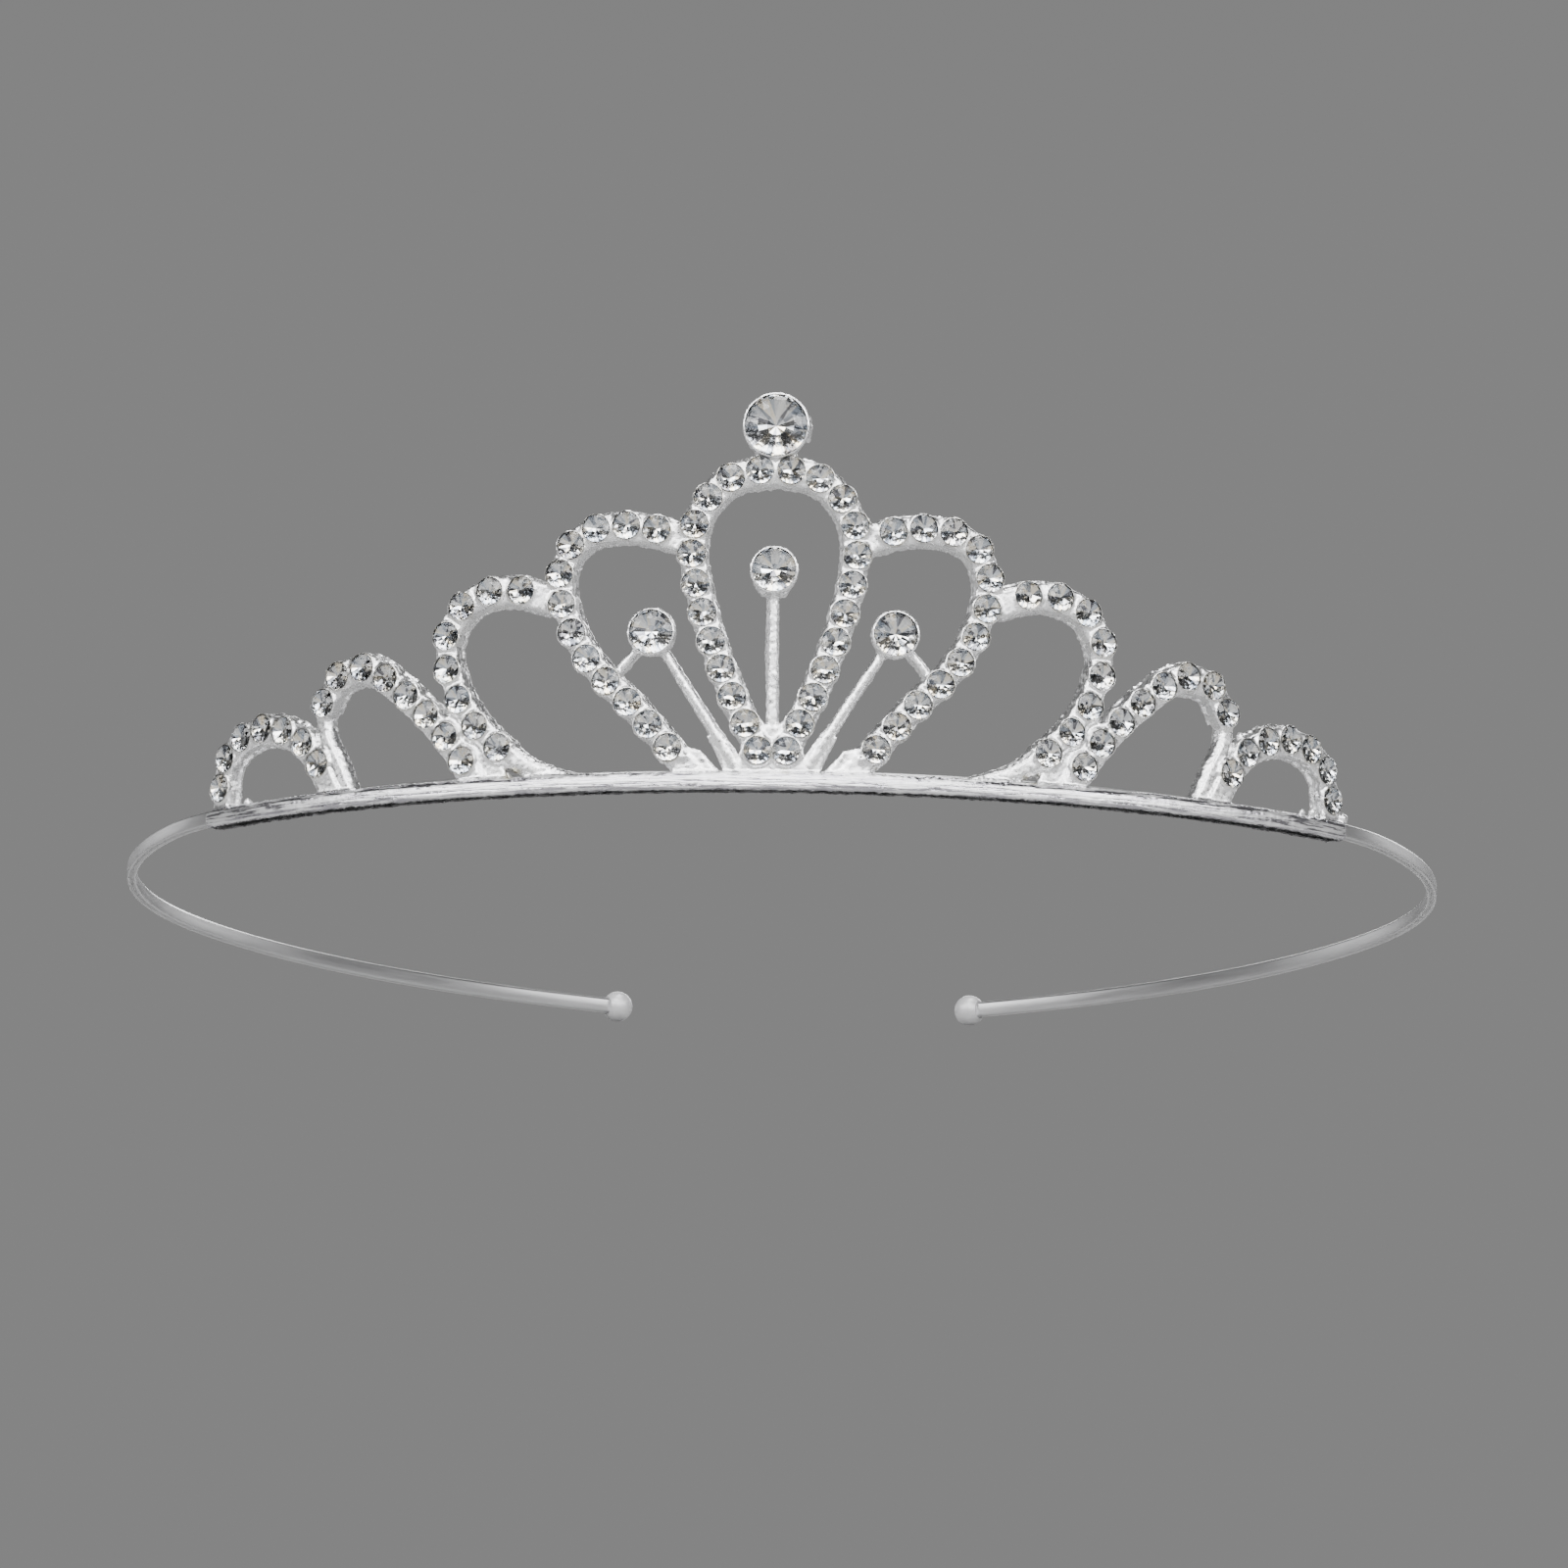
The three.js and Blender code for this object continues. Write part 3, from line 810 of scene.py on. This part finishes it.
def make_stone(name, stone, place, materials, rng):
    """A round-cut stone: clear crown and girdle, mirrored pavilion."""
    lean_x, lean_y = (Matrix.Rotation(rng.uniform(-STONE_LEAN, STONE_LEAN), 4, axis) for axis in "XY")
    turn = Matrix.Rotation(rng.uniform(0, 2 * math.pi), 4, "Z")
    bm = cut_stone(stone)
    silver_pavilion_and_paint_reflections(bm, stone, rng)
    matrix = facing(*place, stone["girdle_at"]) @ (lean_x @ lean_y) @ turn
    bmesh.ops.transform(bm, matrix=matrix, verts=bm.verts)
    piece = finished(name, as_mesh(name, bm), materials)
    return piece


def make_stones(crystal, foil):
    """Every stone. Those of the third, fourth and fifth arches have no CAD node to replace."""
    materials = [crystal, foil]
    rng = random.Random(7)
    for name, place in small_stones().items():
        piece = make_stone(name.replace("_stone_", "_crystal_"), SMALL, place, materials, rng)
        if name.startswith(WITH_STONE_NODES):
            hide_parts(name)
    for name, place in PIN_PLACES.items():
        piece = make_stone(f"{name}_crystal", PIN, place, materials, rng)
        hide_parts(f"{name}_stone")
    piece = make_stone("top_crystal", TOP, TOP_PLACE, materials, rng)
    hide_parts("top_stone")


# ---- Headband ----


def arc_point(start, radius, heading, here):
    """The point where an arc that left the start at one heading has turned to another."""
    across = math.sin(here) - math.sin(heading)
    along = math.cos(heading) - math.cos(here)
    return start + radius * Vector((across, along))


def band_path():
    """Points and headings along the right half of the band, from the front centre to the tip."""
    centre = Vector((0.0, AXIS_Y - BAND_FRONT_RADIUS))
    heading = 0.0
    path = []
    for radius, degrees in BAND_ARCS:
        turn = math.radians(degrees)
        steps = math.ceil(degrees / DEGREES_A_STEP)
        for i in range(steps):
            here = heading + turn * i / steps
            path.append((arc_point(centre, radius, heading, here), here))
        centre = arc_point(centre, radius, heading, heading + turn)
        heading += turn
    path.append((centre, heading))
    return path


def band_section():
    """A flat strip's section with rounded corners: across the thickness, and height."""
    x = BAND_THICKNESS / 2 - BAND_CORNER
    z = BAND_HEIGHT / 2 - BAND_CORNER
    points = []
    for quarter, (across, up) in enumerate([(x, z), (-x, z), (-x, -z), (x, -z)]):
        for i in range(5):
            angle = math.pi / 2 * (quarter + i / 4)
            points.append((across + BAND_CORNER * math.cos(angle), up + BAND_CORNER * math.sin(angle)))
    return points


def make_band(material):
    """The spring strip, from one ball tip round the front to the other."""
    right = band_path()
    left = [(Vector((-p.x, p.y)), -h) for p, h in right[:0:-1]]
    section = band_section()
    bm = bmesh.new()
    drawn = bm.verts.layers.float_vector.new("drawn")
    rings = []
    for place, heading in left + right:
        inwards = Vector((-math.sin(heading), math.cos(heading)))
        ring = []
        for across, height in section:
            spot = place + inwards * across
            ring.append(Vector((spot.x, spot.y, BAND_MID_HEIGHT + height)))
        rings.append(ring)
    along, athwart = DRAWN_GRAIN
    for i, loop in enumerate(loft(bm, rings)):
        for vertex, (across, height) in zip(loop, section):
            vertex[drawn] = Vector((i * along, across * athwart, height * athwart))
    face_outwards(bm)
    band = finished("headband", as_mesh("headband", bm), [material], smooth_angle=50)
    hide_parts("headband_strip")


def make_tip(side, material):
    """A ball with a small dished mouth where the strip enters it."""
    node = "right_ball_tip" if side > 0 else "left_ball_tip"
    low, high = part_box(node)
    centre = (low + high) / 2 / MM
    radius = (high.z - low.z) / 2 / MM
    heading = math.radians(sum(degrees for _, degrees in BAND_ARCS))
    ahead = Vector((side * math.cos(heading), math.sin(heading), 0))
    matrix = Matrix.Translation(centre) @ ahead.to_track_quat("Z", "Y").to_matrix().to_4x4()
    mouth = math.asin(TIP_MOUTH / radius)
    lip = -radius * math.cos(mouth)
    steps = 22
    profile = [(TIP_MOUTH * 0.4, lip + 0.08), (TIP_MOUTH * 0.92, lip + 0.06)]
    for i in range(steps):
        angle = (math.pi - mouth) * (1 - i / steps)
        profile.append((radius * math.sin(angle), radius * math.cos(angle)))
    profile.append((0.02, radius))
    bm = bmesh.new()
    loft(bm, [circle(r, 40, z, matrix) for r, z in profile])
    face_outwards(bm)
    name = f"{node}_cap"
    tip = finished(name, as_mesh(name, bm), [material], smooth_angle=50)
    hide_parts(node)


def make_solder(material):
    """Beads of solder that hold the strip against the back of the rail."""
    rng = random.Random(3)
    bm = bmesh.new()
    for i in range(SOLDER_PAIRS):
        u = (i - SOLDER_PAIRS // 2) * SOLDER_SPACING
        for height in SOLDER_HEIGHTS:
            size = Matrix.Diagonal((rng.uniform(1.4, 2.4), 0.42, rng.uniform(0.36, 0.5), 1))
            matrix = facing(u, height, RAIL_BACK - 0.15) @ size
            bmesh.ops.create_icosphere(bm, subdivisions=3, radius=1.0, matrix=matrix)
    reach, waves = SOLDER_LUMPS
    for vertex in bm.verts:
        vertex.co += Vector((1, 1, 1)) * reach * noise.noise(vertex.co * waves)
    face_outwards(bm)
    solder = finished("solder_beads", as_mesh("solder_beads", bm), [material], smooth_angle=60)


# ---- Studio, in metres ----

FLOOR_LEVEL = -0.0002
FLOOR_FADE = (0.5, 2.2)  # how far from the tiara the floor starts to fade, and where it ends

# The world's grey by the sine of its elevation, times its grey from front (-1) to back (1).
WORLD_BY_HEIGHT = [(-1.0, 0.9), (0.2, 0.9), (0.6, 0.5), (1.0, 0.4)]
WORLD_BY_DEPTH = [(-0.5, 0.1), (0.5, 0.26)]

# Softboxes, which all face the tiara: name, place, width and height, watts.
SOFTBOXES = [
    ("front_softbox", (0.0, -1.3, 0.5), (1.0, 0.34), 11.0),
    ("front_left_softbox", (-0.86, -1.0, 0.5), (0.8, 0.34), 8.6),
    ("front_right_softbox", (0.86, -1.0, 0.5), (0.8, 0.34), 8.6),
    ("left_softbox", (-1.18, -0.52, 0.5), (0.6, 0.34), 3.2),
    ("right_softbox", (1.18, -0.52, 0.5), (0.6, 0.34), 3.2),
    ("back_left_softbox", (-0.92, 0.95, 0.3), (0.6, 0.34), 0.6),
    ("back_right_softbox", (0.92, 0.95, 0.3), (0.6, 0.34), 0.6),
    ("low_softbox", (0.0, -0.9, -0.9), (1.2, 0.5), 5.0),
    ("key_softbox", (-0.1, -0.9, 1.0), (1.3, 0.4), 14.0),
    ("top_softbox", (0.1, -0.05, 1.0), (0.6, 0.25), 5.0),
    ("rim_softbox", (0.2, 1.1, 0.5), (0.8, 0.25), 4.0),
]

# The camera's angles in degrees, its distance, and the point that it looks at, in millimetres:
# this high on the middle of the rail's face, and then to the camera's right and down.
CAMERA_AZIMUTH = 1.0
CAMERA_ELEVATION = -9.6
CAMERA_ROLL = 0.8
CAMERA_DISTANCE = 2.0
AIM_HEIGHT = 1.05
AIM_RIGHT = 1.3
AIM_DOWN = 0.4


def floor_material():
    """Pale paper, clear from below so that it never hides the tiara, and fading out far away."""
    s = Shader("floor_paper")
    paper = s.ramp(s.noise(3, 3), (0.3, (0.33, 0.33, 0.328)), (0.7, (0.37, 0.37, 0.368)))
    s.set(Base_Color=paper, Roughness=0.7)
    distance = s.add("ShaderNodeVectorMath", {"Vector": s.position()}, operation="LENGTH")
    far_off = s.span(distance.outputs["Value"], 0.0, 1.0, *FLOOR_FADE)
    below = s.add("ShaderNodeNewGeometry").outputs["Backfacing"]
    unseen = s.add("ShaderNodeMath", {0: far_off, 1: below}, operation="MAXIMUM").outputs["Value"]
    clear = s.add("ShaderNodeBsdfTransparent").outputs["BSDF"]
    mixed = s.add("ShaderNodeMixShader", {0: unseen, 1: s.surface.outputs["BSDF"], 2: clear})
    s.feed(s.nodes["Material Output"].inputs["Surface"], mixed.outputs["Shader"])
    return s.material


def make_floor():
    """A round sheet of paper, a hair below what the tiara rests on."""
    bm = bmesh.new()
    edge = [bm.verts.new(point) for point in circle(FLOOR_FADE[1], 64, FLOOR_LEVEL, Matrix())]
    bm.faces.new(edge)
    mesh = as_mesh("studio_floor", bm)
    mesh.materials.append(floor_material())
    in_scene("studio_floor", mesh)


def make_world():
    """Pale paper behind and low down, and a dimmer studio in front and overhead."""
    world = bpy.data.worlds.new("studio")
    world.use_nodes = True
    bpy.context.scene.world = world
    tree = NodeTree(world.node_tree)
    view = tree.add("ShaderNodeTexCoord").outputs["Generated"]
    axes = tree.add("ShaderNodeSeparateXYZ", {"Vector": view})
    greys = []
    for axis, stops in (("Z", WORLD_BY_HEIGHT), ("Y", WORLD_BY_DEPTH)):
        share = tree.span(axes.outputs[axis], 0.0, 1.0, -1.0, 1.0)
        colours = [((place + 1) / 2, (grey, grey, grey)) for place, grey in stops]
        greys.append(tree.ramp(share, *colours))
    product = tree.mix(1.0, *greys, blend_type="MULTIPLY")
    tree.feed(tree.nodes["Background"].inputs["Color"], product)


def make_light(name, place, size, power):
    """A rectangular softbox that faces the tiara."""
    light = bpy.data.lights.new(name, "AREA")
    light.shape = "RECTANGLE"
    light.size, light.size_y = size
    light.energy = power
    lamp = in_scene(name, light)
    lamp.location = place
    lamp.rotation_euler = (-Vector(place)).to_track_quat("-Z", "Y").to_euler()


def make_studio():
    make_floor()
    make_world()
    for softbox in SOFTBOXES:
        make_light(*softbox)


def make_camera():
    """The view from in front and a little below the rail, through a long lens."""
    angles = (CAMERA_AZIMUTH, CAMERA_ELEVATION, CAMERA_ROLL)
    azimuth, elevation, roll = (math.radians(angle) for angle in angles)
    run = math.cos(elevation)
    back = Vector((math.sin(azimuth) * run, -math.cos(azimuth) * run, math.sin(elevation)))
    level = Vector((math.cos(azimuth), math.sin(azimuth), 0))
    upright = back.cross(level)
    right = level * math.cos(roll) + upright * math.sin(roll)
    up = upright * math.cos(roll) - level * math.sin(roll)
    aim = bent(0, AIM_HEIGHT, 0) * MM + right * AIM_RIGHT * MM - up * AIM_DOWN * MM
    turn = Matrix((right, up, back)).transposed().to_4x4()
    camera = in_scene("camera", bpy.data.cameras.new("camera"))
    camera.matrix_world = Matrix.Translation(aim + back * CAMERA_DISTANCE) @ turn
    camera.data.sensor_width = 36
    camera.data.lens = 450
    camera.data.clip_start = 0.05
    camera.data.clip_end = 60
    bpy.context.scene.camera = camera


# ---- Everything ----

make_camera()
make_studio()
make_casting(plating_material())
make_stones(crystal_material(), foil_material())
make_band(steel_material())
coating = tip_material()
make_tip(1, coating)
make_tip(-1, coating)
make_solder(solder_material())
